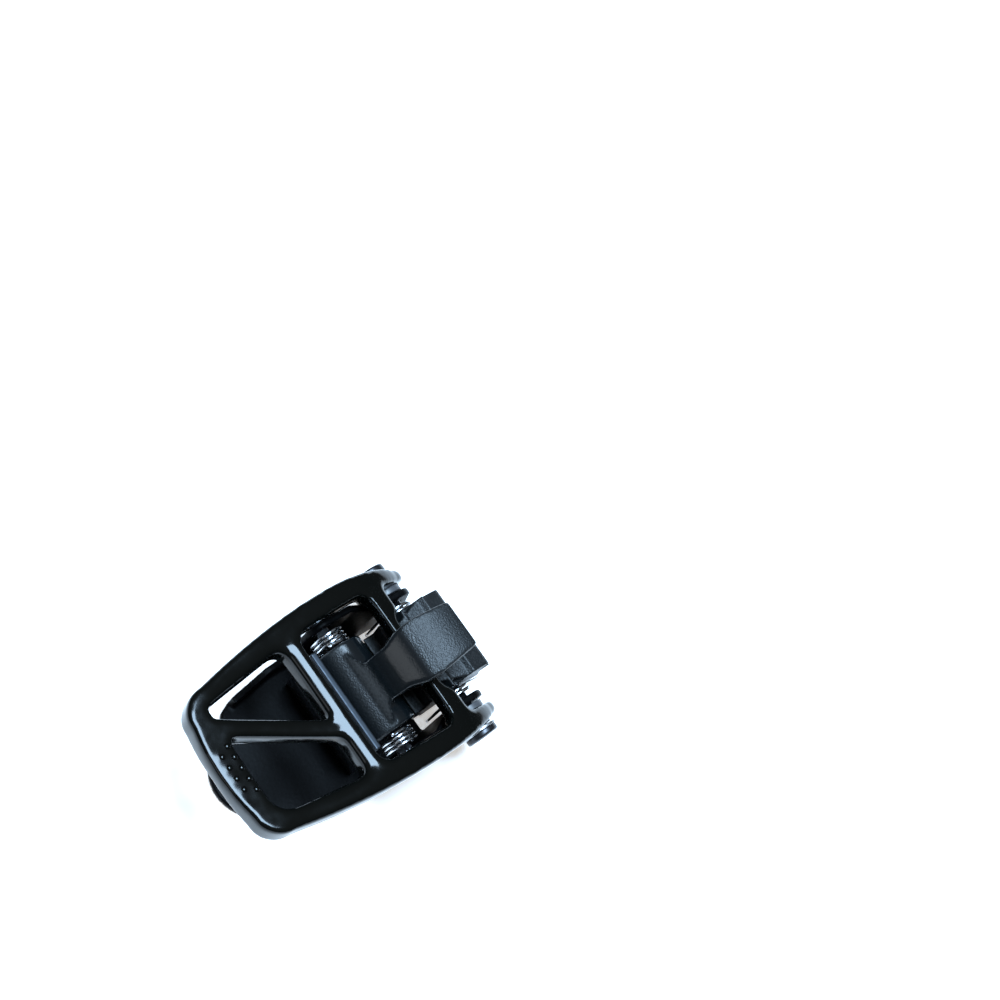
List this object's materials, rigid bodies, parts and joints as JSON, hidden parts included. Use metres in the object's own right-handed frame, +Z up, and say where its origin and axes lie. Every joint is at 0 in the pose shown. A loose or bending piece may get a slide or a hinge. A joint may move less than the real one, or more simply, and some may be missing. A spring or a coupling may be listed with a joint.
{
  "type": "ratchet strap buckle",
  "caption": "Ratchet buckle for a toothed strap: pressed channel base, toothed drum turned by an open cast lever, sprung locking pawl with release paddle.",
  "frame": {"origin": "centre of the strap hole on the underside of the base", "axes": "+X from the main pin towards the strap end and the lever's tip, +Y along the pins, +Z up off the underside"},
  "size_m": [0.0624, 0.0388, 0.0302],
  "materials": {
    "base_satin_black": "satin black powder coat on pressed steel",
    "lever_gloss_black": "thick gloss black paint on a casting",
    "pin_black": "black plated steel",
    "steel_bright": "plain steel",
    "bush_dark": "dark moulded bush",
    "drum_moulding": "grained black moulding",
    "release_moulding": "grained black moulding",
    "pawl_steel": "dark hardened steel",
    "spring_wire": "bright spring wire"
  },
  "bodies": {
    "base": {"base_channel": "base_satin_black", "main_pin": "pin_black", "pin_washer": "steel_bright", "pin_cap": "pin_black", "pawl_pin": "steel_bright", "pawl_pin_ring": "steel_bright", "lever_spring_left": "spring_wire", "lever_spring_right": "spring_wire", "pawl_spring_left": "spring_wire", "pawl_spring_right": "spring_wire"},
    "lever": {"lever_frame": "lever_gloss_black", "lever_bushing_left": "bush_dark", "lever_bushing_right": "bush_dark", "drive_drum": "drum_moulding"},
    "release": {"release_lever": "release_moulding", "locking_pawl": "pawl_steel"}
  },
  "joints": [
    {"name": "lever_hinge", "type": "hinge", "parent": "base", "child": "lever", "pos_m": [-0.0412, 0, 0.0115], "axis": [0, -1, 0], "range_deg": [0, 80], "stiffness_Nm_per_rad": 0.06, "springref_deg": -28.65, "deforming": ["lever_spring_left", "lever_spring_right"]},
    {"name": "release_hinge", "type": "hinge", "parent": "base", "child": "release", "pos_m": [-0.0243, 0, 0.0142], "axis": [0, -1, 0], "range_deg": [0, 16], "stiffness_Nm_per_rad": 0.05, "springref_deg": -28.65, "deforming": ["pawl_spring_left", "pawl_spring_right"]}
  ]
}
